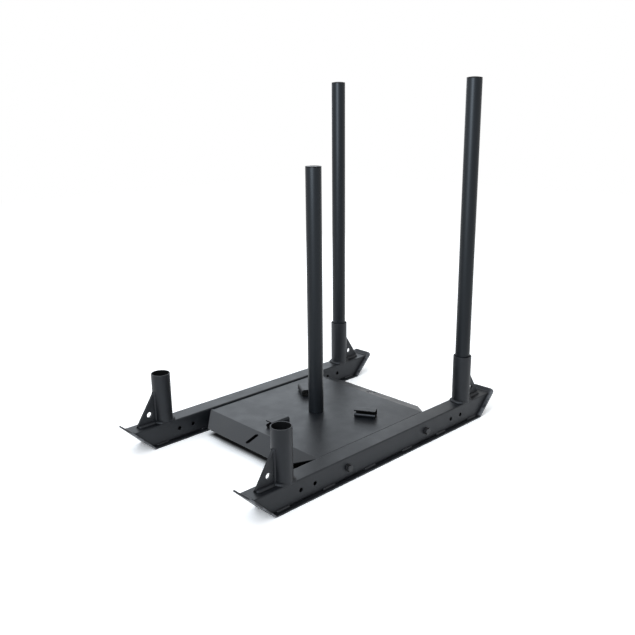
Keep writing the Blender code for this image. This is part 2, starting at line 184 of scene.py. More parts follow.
def addBlend(tree, noise, low, high, between=(0.35, 0.65)):
    # Spreads the noise between two values or two colours
    ramp = tree.nodes.new("ShaderNodeValToRGB")
    for stop, place, value in zip(ramp.color_ramp.elements, between, (low, high)):
        stop.position = place
        stop.color = (*value, 1) if isinstance(value, tuple) else (value, value, value, 1)
    linkNodes(tree, noise, "Fac", ramp, "Fac")
    return ramp


def addMath(tree, operation, source, output, second=None):
    step = tree.nodes.new("ShaderNodeMath")
    step.operation = operation
    linkNodes(tree, source, output, step, 0)
    if isinstance(second, tuple):
        linkNodes(tree, *second, step, 1)
    elif second is not None:
        step.inputs[1].default_value = second
    return step


def addTipHighlight(tree, tipHighlight):
    # A painted highlight: rises towards the runner plates' side edges, only by their tips, and is broken up by
    # noise
    place = tree.nodes.new("ShaderNodeTexCoord")
    parts = tree.nodes.new("ShaderNodeSeparateXYZ")
    linkNodes(tree, place, "Object", parts, "Vector")
    across = addMath(tree, "SUBTRACT", addMath(tree, "ABSOLUTE", parts, "X"), "Value", tipHighlight["railAt"])
    edge = tree.nodes.new("ShaderNodeMapRange")
    edge.inputs["From Min"].default_value, edge.inputs["From Max"].default_value = tipHighlight["edgeFrom"]
    linkNodes(tree, addMath(tree, "ABSOLUTE", across, "Value"), "Value", edge, "Value")
    tip = addMath(tree, "GREATER_THAN", addMath(tree, "ABSOLUTE", parts, "Y"), "Value", tipHighlight["tipFrom"])
    patchy = addBlend(tree, addNoise(tree, tipHighlight["scale"], 3.0), tipHighlight["faintest"], 1.0, tipHighlight["between"])
    both = addMath(tree, "MULTIPLY", edge, "Result", (tip, "Value"))
    return addMath(tree, "MULTIPLY", both, "Value", (patchy, "Color"))


def mixInto(tree, mask, shader, socket, value):
    # Blends what already feeds the socket towards a value where the mask is 1
    fed = shader.inputs[socket].links[0].from_socket
    mix = tree.nodes.new("ShaderNodeMix")
    mix.data_type = "RGBA"
    mix.inputs[7].default_value = (*value, 1)  # 6, 7 and output 2 are its colours
    linkNodes(tree, mask, "Value", mix, 0)
    tree.links.new(fed, mix.inputs[6])
    linkNodes(tree, mix, 2, shader, socket)


def addBump(tree, noise, depth):
    bump = tree.nodes.new("ShaderNodeBump")
    bump.inputs["Distance"].default_value = depth
    linkNodes(tree, noise, "Fac", bump, "Height")
    return bump


def makeFinish(name, look):
    # Noise mottles the colour and roughness; a low swell and a fine grain are bumps, one on the other
    material = bpy.data.materials.new(name)
    material.use_nodes = True
    tree = material.node_tree
    stretch = look.get("stretch", (1, 1, 1))
    shader = tree.nodes["Principled BSDF"]
    shader.inputs["Metallic"].default_value = look.get("metallic", 0.0)
    shader.inputs["IOR"].default_value = look.get("ior", 1.5)
    shader.inputs["Specular Tint"].default_value = (*look.get("sheenTint", (1, 1, 1)), 1)
    shader.inputs["Specular IOR Level"].default_value = look.get("gloss", 0.5)
    mottle = addNoise(tree, look["mottleScale"], 3.0, stretch)
    linkNodes(tree, addBlend(tree, mottle, look["dark"], look["light"]), "Color", shader, "Base Color")
    linkNodes(tree, addBlend(tree, mottle, *look["roughness"]), "Color", shader, "Roughness")
    # the runner tips get a painted highlight mixed into their colour
    if "tipHighlight" in look:
        mixInto(tree, addTipHighlight(tree, look["tipHighlight"]), shader, "Base Color", look["tipHighlight"]["tone"])
    grain = addBump(tree, addNoise(tree, look["grainScale"], 2.0), look["grainDepth"])
    swell = addBump(tree, addNoise(tree, look["swellScale"], 1.0, stretch), look["swellDepth"])
    linkNodes(tree, swell, "Normal", grain, "Normal")
    linkNodes(tree, grain, "Normal", shader, "Normal")
    return material


looks = {
    "blackCoat": {  # fine-textured satin powder coat of the frame and deck
        "dark": (0.0028, 0.0036, 0.0048), "light": (0.0054, 0.0064, 0.0082), "roughness": (0.42, 0.48),
        "ior": 1.42, "sheenTint": (0.90, 0.94, 1.0), "mottleScale": 22,
        "grainScale": 900, "grainDepth": 0.00005, "swellScale": 160, "swellDepth": 0.00005},
    "poleCoat": {  # smoother coat of the drawn tubes
        "dark": (0.0018, 0.0028, 0.0040), "light": (0.0036, 0.0050, 0.0068), "roughness": (0.38, 0.44),
        "ior": 1.42, "gloss": 0.38, "sheenTint": (0.88, 0.94, 1.0), "mottleScale": 16,
        "grainScale": 1100, "grainDepth": 0.00002, "swellScale": 90, "swellDepth": 0.00003,
        "stretch": (1, 1, 0.12)},
    "paintedShadeCoat": {  # painted shade inside the tubes and plate rests: darker and duller
        "dark": (0.0010, 0.0011, 0.0013), "light": (0.0026, 0.0028, 0.0032), "roughness": (0.75, 0.90),
        "gloss": 0.12, "mottleScale": 60,
        "grainScale": 900, "grainDepth": 0.00005, "swellScale": 160, "swellDepth": 0.00005},
    "plugPlastic": {  # moulded caps
        "dark": (0.0014, 0.0018, 0.0022), "light": (0.0026, 0.0030, 0.0036), "roughness": (0.42, 0.50),
        "gloss": 0.2, "mottleScale": 60,
        "grainScale": 1500, "grainDepth": 0.00003, "swellScale": 300, "swellDepth": 0.00002},
    "blackBolts": {  # oiled black oxide
        "dark": (0.0280, 0.0290, 0.0310), "light": (0.0500, 0.0510, 0.0540), "roughness": (0.32, 0.45),
        "metallic": 0.85, "mottleScale": 180,
        "grainScale": 1800, "grainDepth": 0.00002, "swellScale": 400, "swellDepth": 0.00002},
    "bareSteel": {  # zinc plating, under the deck
        "dark": (0.36, 0.36, 0.37), "light": (0.50, 0.50, 0.50), "roughness": (0.28, 0.42),
        "metallic": 1.0, "mottleScale": 140,
        "grainScale": 1500, "grainDepth": 0.00002, "swellScale": 300, "swellDepth": 0.00002},
}
looks["runnerCoat"] = looks["blackCoat"] | {  # the same coat, with a painted highlight on the runner tips' edges
    "tipHighlight": {"railAt": 0.290, "edgeFrom": (0.026, 0.0430), "tipFrom": 0.466, "scale": 70,
             "faintest": 0.25, "between": (0.40, 0.55), "tone": (0.13, 0.135, 0.145)}}
finishes = {name: makeFinish(name, look) for name, look in looks.items()}
coat = {"finish": finishes["blackCoat"], "slot": "black_coat"}
runnerCoat = coat | {"finish": finishes["runnerCoat"]}
postCoat = coat | {"finish": finishes["poleCoat"]}
poleCoat = {"finish": finishes["poleCoat"], "slot": "pole_coat"}
plastic = {"finish": finishes["plugPlastic"], "slot": "plug_plastic"}
boltSteel = {"finish": finishes["blackBolts"], "slot": "black_bolts"}
plated = {"finish": finishes["bareSteel"], "slot": "bare_steel"}
print("finishes made:", ", ".join(looks))

sides = {"left": -1, "right": 1}
ends = {"front": -1, "rear": 1}


# Rails
railShape = {"corner": 0.004, "wall": 0.003, "mitre": 45.0, "endGap": 0.0010, "holeRadius": 0.0065,
             "holesAt": (0.180, 0.312, 0.365), "cell": 0.022, "edge": 0.0006, "ringSteps": 12,
             "cornerSteps": 6}


def ringCell(halfWidth, halfHeight, steps, hole):
    # Matches points round a rectangle, side by side, with points round a hole; hole(t) gives its outline
    t = np.arange(4 * steps) / steps
    across = np.interp(t, range(5), np.array([1, 1, -1, -1, 1]) * halfWidth)
    upward = np.interp(t, range(5), np.array([-1, 1, 1, -1, -1]) * halfHeight)
    return np.stack([across, upward], axis=-1), hole(t)


def roundHole(radius):
    # A quarter turn for each unit of t
    def outline(t):
        angle = (t - 0.5) * np.pi / 2
        return radius * np.stack([np.cos(angle), np.sin(angle)], axis=-1)
    return outline


def overTop(half, shoulder, crown, steps):
    # (x, z) from one wall's shoulder over the crown to the other wall's shoulder
    angle = np.linspace(0, np.pi / 2, steps + 1)
    corner = abs(crown - shoulder)
    across = half - corner + corner * np.cos(angle)
    curve = np.stack([across, shoulder + (crown - shoulder) * np.sin(angle)], axis=-1)
    return np.concatenate([curve, curve[::-1] * (-1, 1)])


def makeRail(shape, node):
    # A box section carried along Y; both ends are cut at y = end - gap - (top - z) / tan(mitre)
    low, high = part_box(node)
    middle, half = (low[0] + high[0]) / 2, (high[0] - low[0]) / 2
    bottom, top = low[2], high[2]
    centres = np.array(sorted(side * y for y in shape["holesAt"] for side in (-1, 1)))
    across = np.linspace(-shape["cell"], shape["cell"], shape["ringSteps"] + 1)
    stations = (centres[:, None] + across[None]).ravel()
    shoulders = np.linspace(bottom + shape["corner"], top - shape["corner"], shape["ringSteps"] + 1)

    def endAt(z):
        return high[1] - shape["endGap"] - (top - z) / math.tan(math.radians(shape["mitre"]))

    def along(z):
        return np.concatenate([-endAt(z)[None], stations[:, None] + 0 * z[None], endAt(z)[None]])

    sheets, loops = [], []
    for inset in (0, shape["wall"]):
        wide = half - inset
        over = overTop(wide, shoulders[-1], top - inset, shape["cornerSteps"])
        under = overTop(wide, shoulders[0], bottom + inset, shape["cornerSteps"])
        for curve in (over, under):
            sheets.append(placedGrid(middle + curve[None, :, 0], along(curve[:, 1]), curve[None, :, 1]))
        y = along(shoulders)
        edges = [0] + list(range(shape["ringSteps"] + 1, len(y) - 1, shape["ringSteps"] + 1))
        for side in (-1, 1):
            for start in edges:
                sheets.append(placedGrid(middle + side * wide, y[start:start + 2], shoulders[None]))
        left, right = (np.stack([0 * shoulders + side * wide, shoulders], axis=-1) for side in (-1, 1))
        loops.append(np.concatenate([over, left[-2:0:-1], under[::-1], right[1:-1]]))
    loop = np.stack(loops)
    for end in (-1, 1):
        sheets.append(placedGrid(middle + loop[..., 0], end * endAt(loop[..., 1]), loop[..., 1], False, True))
    square, circle = ringCell(shape["cell"], (shoulders[-1] - shoulders[0]) / 2, shape["ringSteps"],
                              roundHole(shape["holeRadius"]))
    between = (square + circle) / 2
    rings = np.stack([square, between, circle, circle, between, square])
    depth = np.array([0, 0, 0, 1, 1, 1])[:, None] * shape["wall"]
    for side in (-1, 1):
        for y in centres:
            sheets.append(placedGrid(middle + side * (half - depth), y + rings[..., 0],
                                     (bottom + top) / 2 + rings[..., 1], False, True))
    addPiece(node + "_finished", sheets, **coat, stands=[node], edge=shape["edge"])


for sideName in sides:
    makeRail(railShape, sideName + "_rail_tube")
print("rails made")


# Runner shoes
shoeShape = {"thickness": 0.005, "bendAt": 0.46512, "bendRadius": 0.003, "angle": 45.0, "slope": 0.10935,
             "corner": 0.012, "edge": 0.0009, "bendSteps": 6, "cornerSteps": 8}


def folded(s, bendAt, radius, angle):
    # Distance along a sheet becomes (y, z): straight, round the bend's arc, then straight at the angle
    start = bendAt - radius * math.tan(abs(angle) / 2)
    turn = np.clip((s - start) / radius, 0, abs(angle))
    rest = np.maximum(s - start - radius * abs(angle), 0)
    y = np.minimum(s, start) + radius * np.sin(turn) + rest * math.cos(angle)
    return y, np.sign(angle) * (radius * (1 - np.cos(turn)) + rest * abs(math.sin(angle)))


def makeShoe(shape, node):
    # The upper skin, its width drawn in round each tip's corners: half width = w - c + sqrt(c^2 - d^2)
    low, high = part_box(node)
    middle, half = (low[0] + high[0]) / 2, (high[0] - low[0]) / 2
    angle, radius, corner = math.radians(shape["angle"]), shape["bendRadius"], shape["corner"]
    tangent = radius * math.tan(angle / 2)
    start = shape["bendAt"] - tangent
    tip = start + radius * angle + shape["slope"] - tangent
    turn = np.radians(np.linspace(0, 90, shape["cornerSteps"] + 1))
    s = np.concatenate([[0], start + np.linspace(0, radius * angle, shape["bendSteps"] + 1),
                        tip - corner + corner * np.sin(turn)])
    drawnIn = np.concatenate([np.zeros(shape["bendSteps"] + 2), corner * (1 - np.cos(turn))])
    y, z = folded(s, shape["bendAt"], radius, angle)
    y, z, drawnIn = (np.concatenate([sign * row[:0:-1], row])
                     for row, sign in ((y, -1), (z, 1), (drawnIn, 1)))
    x = np.linspace(-1, 1, 5)[None] * (half - drawnIn)[:, None]
    sheet = placedGrid(middle + x, y[:, None], shape["thickness"] + z[:, None])
    # the tips' side edges carry a painted highlight in their coat
    addPiece(node + "_finished", [sheet], **runnerCoat, stands=[node], wall=shape["thickness"],
             edge=shape["edge"], within=(middle, 0, farBelow))


for sideName in sides:
    makeShoe(shoeShape, sideName + "_runner_shoe")
print("runner shoes made")


# Deck
deckShape = {"sheet": 0.003, "flatHalf": 0.2522, "halfWidth": 0.2592, "bendAt": 0.240, "bendRadius": 0.005,
             "slope": 17.4, "apron": 0.07336, "tipHalf": 0.182, "flangeEnd": 0.230, "reliefEnd": 0.232,
             "flangeRadius": 0.007, "flangeDepth": 0.046, "slotAt": 0.036, "slotLength": 0.050,
             "slotWidth": 0.014, "slotMargin": 0.003, "postHole": 0.0085, "cell": 0.030, "ringSteps": 12,
             "edge": 0.0005}


def longHole(length, width):
    # A straight side, half a circle, the other straight side and half a circle
    reach = (length - width) / 2

    def outline(t):
        part, run = np.floor(t).astype(int), t % 1
        straight = np.stack([np.full_like(run, width / 2), (2 * run - 1) * reach], axis=-1)
        cap = np.stack([width / 2 * np.cos(np.pi * run), reach + width / 2 * np.sin(np.pi * run)], axis=-1)
        return np.where((part % 2 == 0)[:, None], straight, cap) * np.where(part < 2, 1, -1)[:, None]
    return outline


def makeDeck(shape, node):
    # The upper skin: patches round the post's hole, an apron round each slot and a flange along each side.
    # folded gives y and z for a distance s along the sheet
    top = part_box(node)[1][2]
    cell, steps, wide = shape["cell"], shape["ringSteps"], shape["halfWidth"]
    angle = math.radians(shape["slope"])
    tangent = shape["bendRadius"] * math.tan(angle / 2)
    start = shape["bendAt"] - tangent
    foldLine = start + shape["bendRadius"] * angle
    tip = foldLine + shape["apron"] - tangent

    def skin(x, s, closed=False):
        y, z = folded(np.abs(s), shape["bendAt"], shape["bendRadius"], -angle)
        return placedGrid(x, np.sign(s) * y, top + z, False, closed)

    def ring(halfLength, place, hole):
        square, inside = ringCell(cell, halfLength, steps, hole)
        rings = np.stack([square, (square + inside) / 2, inside])
        return skin(rings[..., 0], place + rings[..., 1], True)

    middle = np.linspace(-cell, cell, steps + 1)
    share = (shape["flatHalf"] - cell) / (wide - cell)
    beside = np.array([share / 2, share, 1])
    flat = cell + beside[:2] * (wide - cell)
    relief = np.array([shape["flangeEnd"], shape["reliefEnd"]])
    inner = np.concatenate([-flat[::-1], middle, flat])
    rows = np.concatenate([-relief[::-1], middle, relief])
    sheets = [skin(columns[None], rows[:, None]) for columns in (inner[:3], inner[-3:])]
    sheets += [skin(middle[None], part[:, None]) for part in (rows[:3], rows[-3:])]
    sheets.append(ring(cell, 0.0, roundHole(shape["postHole"])))
    slotMiddle = shape["slotAt"] + start + tangent
    halfSlot = min(slotMiddle - foldLine, tip - slotMiddle) - shape["slotMargin"]
    slotRows = slotMiddle + np.linspace(-halfSlot, halfSlot, steps + 1)
    apronRows = np.concatenate([[shape["reliefEnd"]], np.linspace(start, foldLine, 5), slotRows, [tip]])
    pastBend = folded(apronRows, shape["bendAt"], shape["bendRadius"], -angle)[0] - shape["bendAt"]
    halfAt = wide + (shape["tipHalf"] - wide) * np.clip(pastBend / pastBend[-1], 0, 1)
    spread = np.concatenate([[0], beside])
    for end in (-1, 1):
        for side in (-1, 1):
            x = side * (cell + spread[None] * (halfAt[:, None] - cell))
            sheets.append(skin(x, end * apronRows[:, None] + 0 * x))
        for part in (apronRows[:7], apronRows[-2:]):
            sheets.append(skin(middle[None], end * part[:, None]))
        slot = longHole(shape["slotLength"], shape["slotWidth"])
        sheets.append(ring(halfSlot, end * slotMiddle, slot))
    radius = shape["flangeRadius"]
    curve = np.concatenate([arcPoints(shape["flatHalf"], top - radius, radius, 90, 0, 6),
                            [[wide, top - shape["flangeDepth"]]]])
    for side in (-1, 1):
        sheets.append(placedGrid(side * curve[:, :1], rows[None, 1:-1], curve[:, 1:]))
    addPiece(node + "_finished", sheets, **coat, stands=[node], wall=shape["sheet"], edge=shape["edge"],
             within=(0, 0, farBelow))


makeDeck(deckShape, "deck_tray")
print("deck made")


# Round tubes and turned plugs
tubeShape = {"socket": {"bore": 0.027, "lip": 0.0009}, "post": {"bore": 0.021, "lip": 0.0006},
             "pole": {"bore": 0.02115, "lip": 0.0005}, "paintedShadeTo": 0.0001, "sides": 96}


def tubeProfile(outer, bore, bottom, top, lip):
    # Outside wall, rounded rim, inside wall and rounded foot, as one closed outline
    corners = ((outer - lip, bottom + lip, -90), (outer - lip, top - lip, 0),
               (bore + lip, top - lip, 90), (bore + lip, bottom + lip, 180))
    return np.concatenate([arcPoints(*centre, lip, start, start + 90, 4) for *centre, start in corners])


def addTube(node, tube, finish, body="sled"):
    # The bore's wall has the darker coat of painted shade, and the rest has the finish
    low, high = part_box(node)
    centre = ((low[0] + high[0]) / 2, (low[1] + high[1]) / 2)
    profile = tubeProfile((high[1] - low[1]) / 2, tube["bore"], low[2], high[2], tube["lip"])
    sheet = turned(profile, centre, tubeShape["sides"], True)
    piece = addPiece(node + "_finished", [sheet], **finish, body=body, stands=[node])
    piece.data.materials.append(finishes["paintedShadeCoat"])
    for face in piece.data.polygons:
        face.material_index = int(math.dist(face.center[:2], centre) < tube["bore"] + tubeShape["paintedShadeTo"])


for endName in ends:
    for sideName in sides:
        addTube(f"{endName}_{sideName}_socket", tubeShape["socket"], coat)
addTube("weight_post", tubeShape["post"], postCoat)
for sideName in sides:
    addTube(sideName + "_push_pole", tubeShape["pole"], poleCoat, sideName + "_pole")

plugShape = {"poleSpigot": 0.02085, "poleRim": 0.002, "poleDome": 0.003, "poleLip": 0.0006, "domeFrom": 0.94,
             "poleFlange": 0.003, "postSpigot": 0.0207, "postRim": 0.003, "rounding": 0.0008, "edge": 0.0004,
             "leadIn": (0.002, 0.003), "dishEdge": (0.0045, 0.0052), "dishDepth": 0.0005,
             "gate": (0.003, 0.0022), "gateDepth": 0.0001}


def spigotAndRim(shape, spigot, reach, tip, rim):
    # From the axis over the spigot's tapered tip, along its side and out to the rim's edge
    inward, along = shape["leadIn"]
    taper = tip + math.copysign(along, rim - tip)
    return np.array([[0, tip], [spigot - inward, tip], [spigot, taper], [spigot, rim], [reach, rim]])


def domeCap(shape, reach, bottom, top):
    # A spigot, a short rim with a rounded lip, then a low dome: height falls with the square of the radius
    rimTop, lip = top - shape["poleDome"], shape["poleLip"]
    share = np.linspace(shape["domeFrom"], 0, 14)[:, None]
    dome = np.concatenate([reach * share, rimTop + shape["poleDome"] * (1 - share ** 2)], axis=1)
    foot = spigotAndRim(shape, shape["poleSpigot"], reach, bottom, rimTop - shape["poleRim"])
    return np.concatenate([foot, arcPoints(reach - lip, rimTop - lip, lip, 0, 60, 3), dome])


def flatCap(shape, reach, bottom, top):
    # A spigot, a rim and a flat top with a shallow moulded dish and the gate's round mark in its middle
    (edge, dishEdge), (gate, gateTop), lip = shape["dishEdge"], shape["gate"], shape["rounding"]
    dish, mark = top - shape["dishDepth"], top - shape["gateDepth"]
    foot = spigotAndRim(shape, shape["postSpigot"], reach, bottom, top - shape["postRim"])
    inside = [[reach - edge, top], [reach - dishEdge, dish], [gate, dish], [gateTop, mark], [0, mark]]
    return np.concatenate([foot, arcPoints(reach - lip, top - lip, lip, 0, 90, 5), inside])


def footPlug(shape, reach, bottom, top):
    # A flat flange with a rounded edge, and the spigot above it
    lip = shape["rounding"]
    body = spigotAndRim(shape, shape["poleSpigot"], reach, top, bottom + shape["poleFlange"])
    return np.concatenate([[[0, bottom]], arcPoints(reach - lip, bottom + lip, lip, -90, 0, 5), body[::-1]])


def addPlug(node, profileOf, body="sled"):
    low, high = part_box(node)
    centre = ((low[0] + high[0]) / 2, (low[1] + high[1]) / 2)
    profile = profileOf(plugShape, (high[1] - low[1]) / 2, low[2], high[2])
    sheet = turned(profile, centre, tubeShape["sides"])
    addPiece(node + "_finished", [sheet], **plastic, body=body, stands=[node], edge=plugShape["edge"])


addPlug("post_cap", flatCap)
for sideName in sides:
    addPlug(sideName + "_pole_cap", domeCap, sideName + "_pole")
    addPlug(sideName + "_pole_foot_plug", footPlug, sideName + "_pole")
print("tubes and caps made")


# Gussets
gussetShape = {"toe": 0.008, "hole": 0.009, "holeBack": 0.0217, "holeUp": 0.033, "edge": 0.0009, "steps": 64}


def makeGusset(shape, node, outward):
    # Rays from the hole's centre meet the plate's outline; one closed sheet runs out, over, in and through
    low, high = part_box(node)
    near, far = (low[1], high[1]) if outward > 0 else (high[1], low[1])
    foot = abs(far - near)
    outline = np.array([[0, 0], [foot, 0], [foot, shape["toe"]], [0, high[2] - low[2]]])
    centre = np.array([shape["holeBack"], shape["holeUp"]])
    corners = np.arctan2(*(outline - centre).T[::-1])
    angle = np.sort(np.concatenate([corners, np.linspace(-np.pi, np.pi, shape["steps"], endpoint=False)]))
    ray = np.stack([np.cos(angle), np.sin(angle)], axis=-1)
    sideways = np.roll(outline, -1, axis=0) - outline
    normal = np.stack([sideways[:, 1], -sideways[:, 0]], axis=-1)
    reach = ((outline - centre) * normal).sum(1)[None] / (ray @ normal.T)
    border = centre + ray * np.where(reach > 1e-9, reach, 1e9).min(axis=1)[:, None]
    hole = centre + ray * shape["hole"]
    between = (border + hole) / 2
    rows = np.stack([border, border, between, hole, hole, between])
    x = np.array([low[0], high[0], high[0], high[0], low[0], low[0]])[:, None]
    sheet = placedGrid(x, near + outward * rows[..., 0], low[2] + rows[..., 1], True, True)
    addPiece(node + "_finished", [sheet], **coat, stands=[node], edge=shape["edge"])


for endName, end in ends.items():
    for sideName in sides:
        makeGusset(gussetShape, f"{endName}_{sideName}_gusset", end)
print("gussets made")


# Plate rests: short channels folded from strip
restShape = {"angles": {"right": 30, "left": 150, "front": 270}, "middle": 0.168, "length": 0.070,
             "width": 0.034, "height": 0.024, "wall": 0.004, "radius": 0.007, "lipRadius": 0.0065,
             "lipFrom": 120, "edge": 0.0005}


def makeRest(shape, node, degrees):
    # The outer skin of a C section whose foot is rolled up on the open side, carried along the channel
    # and turned round the post
    bottom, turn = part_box(node)[0][2], math.radians(degrees)
    half, height = shape["width"] / 2, shape["height"]
    radius, lip = shape["radius"], shape["lipRadius"]
    section = np.concatenate([arcPoints(lip - half, lip, lip, shape["lipFrom"], 270, 9),
                              arcPoints(half - radius, radius, radius, -90, 0, 6),
                              arcPoints(half - radius, height - radius, radius, 0, 90, 6),
                              [[-half, height]]])
    along = np.linspace(-shape["length"] / 2, shape["length"] / 2, 3)[:, None] + shape["middle"]
    across, upward = section[None, :, 0], section[None, :, 1]
    x = along * math.cos(turn) - across * math.sin(turn)
    y = along * math.sin(turn) + across * math.cos(turn)
    hollow = (shape["middle"] * math.cos(turn), shape["middle"] * math.sin(turn), bottom + height / 2)
    # the inner faces and cut ends take the darker coat of painted shade
    addPiece(node + "_finished", [placedGrid(x, y, bottom + upward)], **coat, stands=[node],
             wall=shape["wall"], edge=shape["edge"], within=hollow, shadeLining=finishes["paintedShadeCoat"])


for label, degrees in restShape["angles"].items():
    makeRest(restShape, label + "_plate_rest", degrees)
print("plate rests made")


# Bolts, nuts and washers
boltShape = {"deckFlats": 0.019, "deckShank": 0.006, "deckPitch": 0.00175, "postFlats": 0.024,
             "postShank": 0.008, "postPitch": 0.002, "threadDepth": 0.0007, "threadSides": 24,
             "threadRows": 6, "chamferFrom": 0.97, "chamferRise": 1.73, "chamferRows": (0.0006, 0.0012),
             "washerLip": 0.22, "plugLip": 0.0006, "edge": 0.0002, "sides": 72}


def hexRadius(angle, flats):
    # Distance to a hexagon's side in each direction
    return flats / 2 / np.cos(angle % (np.pi / 3) - np.pi / 6)


def hexBody(flats, bottom, top, bore, chamferBoth):
    # The lesser of the hexagon and a cone, so that the corners fall away at 30 degrees
    shape = boltShape
    angle = np.linspace(0, 2 * np.pi, shape["sides"], endpoint=False)[:, None]
    height, (first, second) = top - bottom, shape["chamferRows"]
    rise = np.array([0, first, second, 0.5 * height, height - second, height - first, height])[None]
    narrow = flats / 2 * shape["chamferFrom"]
    lower = narrow + rise * shape["chamferRise"] if chamferBoth else flats + 0 * rise
    upper = narrow + (height - rise) * shape["chamferRise"]
    radius = np.minimum(hexRadius(angle, flats), np.minimum(lower, upper))
    inner = np.full((len(angle), 1), bore)
    radius = np.concatenate([inner, radius, inner], axis=1)
    rise = np.concatenate([[[0]], rise, [[height]]], axis=1)
    return radius, bottom + rise, angle


def threadedShank(radius, bottom, top, pitch):
    # Radius falls and rises with height / pitch + angle / full turn, as a triangle wave that fades at the top
    shape = boltShape
    angle = np.linspace(0, 2 * np.pi, shape["threadSides"], endpoint=False)[:, None]
    rows = max(int((top - bottom) / pitch * shape["threadRows"]), 2)
    height = np.linspace(bottom, top, rows)[None] + 0 * angle
    wave = np.abs(((height / pitch + angle / (2 * np.pi)) % 1) * 2 - 1)
    fade = np.clip((top - height) / (2 * pitch), 0, 1)
    shank = radius - shape["threadDepth"] * wave * fade
    axis = 0 * angle
    height = np.concatenate([height[:, :1], height, height[:, -1:]], axis=1)
    return np.concatenate([axis, shank, axis], axis=1), height, angle


def layAlongX(radius, height, angle, axis, outward, closed=False):
    # Heights run out from the sled's middle, and axis is the (y, z) they run along
    y, z = axis[0] + radius * np.cos(angle), axis[1] + radius * np.sin(angle)
    return placedGrid(outward * height, y, z, True, closed)


def washerProfile(bore, outer, bottom, top):
    return tubeProfile(outer, bore, bottom, top, (top - bottom) * boltShape["washerLip"])


def makeDeckFastener(label, outward):
    shape = boltShape
    low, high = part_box(label + "_deck_bolt")
    axis = ((low[1] + high[1]) / 2, (low[2] + high[2]) / 2)
    bore = shape["deckShank"] + touchGap

    def spanOf(part):
        # The part's ends, as distances from the sled's middle
        low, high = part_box(f"{label}_{part}")
        return (low[0], high[0]) if outward > 0 else (-high[0], -low[0])

    def addPart(part, sheets, edge=0.0):
        addPiece(f"{label}_{part}_finished", sheets, **boltSteel, stands=[f"{label}_{part}"], edge=edge)

    boltFoot, headTop = spanOf("deck_bolt")
    headFoot = spanOf("head_washer")[1] + touchGap
    head = hexBody(shape["deckFlats"], headFoot, headTop, 0.0, False)
    shank = threadedShank(shape["deckShank"], boltFoot, headFoot, shape["deckPitch"])
    addPart("deck_bolt", [layAlongX(*part, axis, outward) for part in (head, shank)], shape["edge"])
    nut = hexBody(shape["deckFlats"], *spanOf("deck_nut"), bore, True)
    addPart("deck_nut", [layAlongX(*nut, axis, outward, True)], shape["edge"])
    angle = np.linspace(0, 2 * np.pi, shape["sides"], endpoint=False)[:, None]
    for part in ("head_washer", "nut_washer"):
        low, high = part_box(f"{label}_{part}")
        profile = washerProfile(bore, (high[1] - low[1]) / 2, *spanOf(part))[None]
        addPart(part, [layAlongX(profile[..., 0], profile[..., 1], angle, axis, outward, True)])


for endName in ends:
    for sideName, side in sides.items():
        makeDeckFastener(f"{endName}_{sideName}", side)


def makePostFasteners(shape):
    low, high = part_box("post_bolt")
    washerLow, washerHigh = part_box("post_washer")
    plugLow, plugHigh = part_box("post_base_plug")
    headTop, bore = washerLow[2] - touchGap, shape["postShank"] + touchGap

    def standing(radius, height, angle):
        return placedGrid(radius * np.cos(angle), radius * np.sin(angle), height, True)

    head = hexBody(shape["postFlats"], low[2], headTop, 0.0, True)
    shank = threadedShank(shape["postShank"], headTop, high[2], shape["postPitch"])
    addPiece("post_bolt_finished", [standing(*head), standing(*shank)], **plated, stands=["post_bolt"],
             edge=shape["edge"])
    profile = washerProfile(bore, washerHigh[0], washerLow[2], washerHigh[2])
    washer = turned(profile, (0, 0), tubeShape["sides"], True)
    addPiece("post_washer_finished", [washer], **plated, stands=["post_washer"])
    profile = tubeProfile(plugHigh[0], bore, plugLow[2], plugHigh[2], shape["plugLip"])
    plug = turned(profile, (0, 0), tubeShape["sides"], True)
    addPiece("post_base_plug_finished", [plug], **plated, stands=["post_base_plug"])


makePostFasteners(boltShape)
print("fasteners made")


# Welds
weldShape = {
    "socketLeg": 0.0080, "leastLeg": 0.0004, "leastCrest": 0.45, "sunk": 0.0002,  # round the sockets' feet
    "gussetLeg": 0.0085, "gussetFrom": 0.001, "gussetPast": 0.002,  # along the gussets' feet
    "seamLeg": 0.0050, "seamLean": 0.25, "seamFrom": 0.004, "seamTo": 0.001,  # up the sockets' walls
    "endFoot": 0.0045, "endUp": 0.0032, "endTaper": 0.004, "endIn": 0.005,  # across the rails' tips
    "stitchFoot": 0.0050, "stitchUp": 0.0062, "stitchLean": 0.0012, "stitchIn": 0.0010,  # on the shoes
    "stitchesAt": (0.086, 0.258, 0.431), "stitchLength": 0.048,
    "pitch": 0.0034, "ripple": 0.05, "rippleBow": 0.35, "bulge": 0.14, "root": 0.08, "blunt": 0.0005,
    "step": 0.0006, "columns": 9, "turnSteps": 360}


def weldBead(corner, foot, crest, closed=False):
    # Section: from the foot to the crest, swelling as sin(pi v), and back through a root behind the corner;
    # ripples follow the path as the size of sin(pi run / pitch), bowed along it
    shape = weldShape
    steps = np.linalg.norm(np.diff(corner, axis=0), axis=1)
    run = np.concatenate([[0], np.cumsum(steps)])[:, None]
    v = np.linspace(0, 1, shape["columns"])[None]
    arch = np.sin(np.pi * v)
    ripple = np.abs(np.sin(np.pi * (run / shape["pitch"] + shape["rippleBow"] * arch)))
    swell = (shape["bulge"] + shape["ripple"] * ripple) * arch
    a, b = (1 - v + swell)[..., None], (v + swell)[..., None]
    toFoot, toCrest = (foot - corner)[:, None], (crest - corner)[:, None]
    line = corner[:, None] + toFoot * a + toCrest * b
    root = corner[:, None] - shape["root"] * (toFoot + toCrest)
    return grid(np.concatenate([line, root], axis=1), closed, True)


def tapered(count, length, leg):
    # A bead's ends round off over one leg's length
    run = np.linspace(0, length, count)
    inset = np.clip(1 - np.minimum(run, length - run) / leg, 0, 1)
    return run, np.sqrt(np.maximum(1 - inset ** 2, weldShape["blunt"]))[:, None]


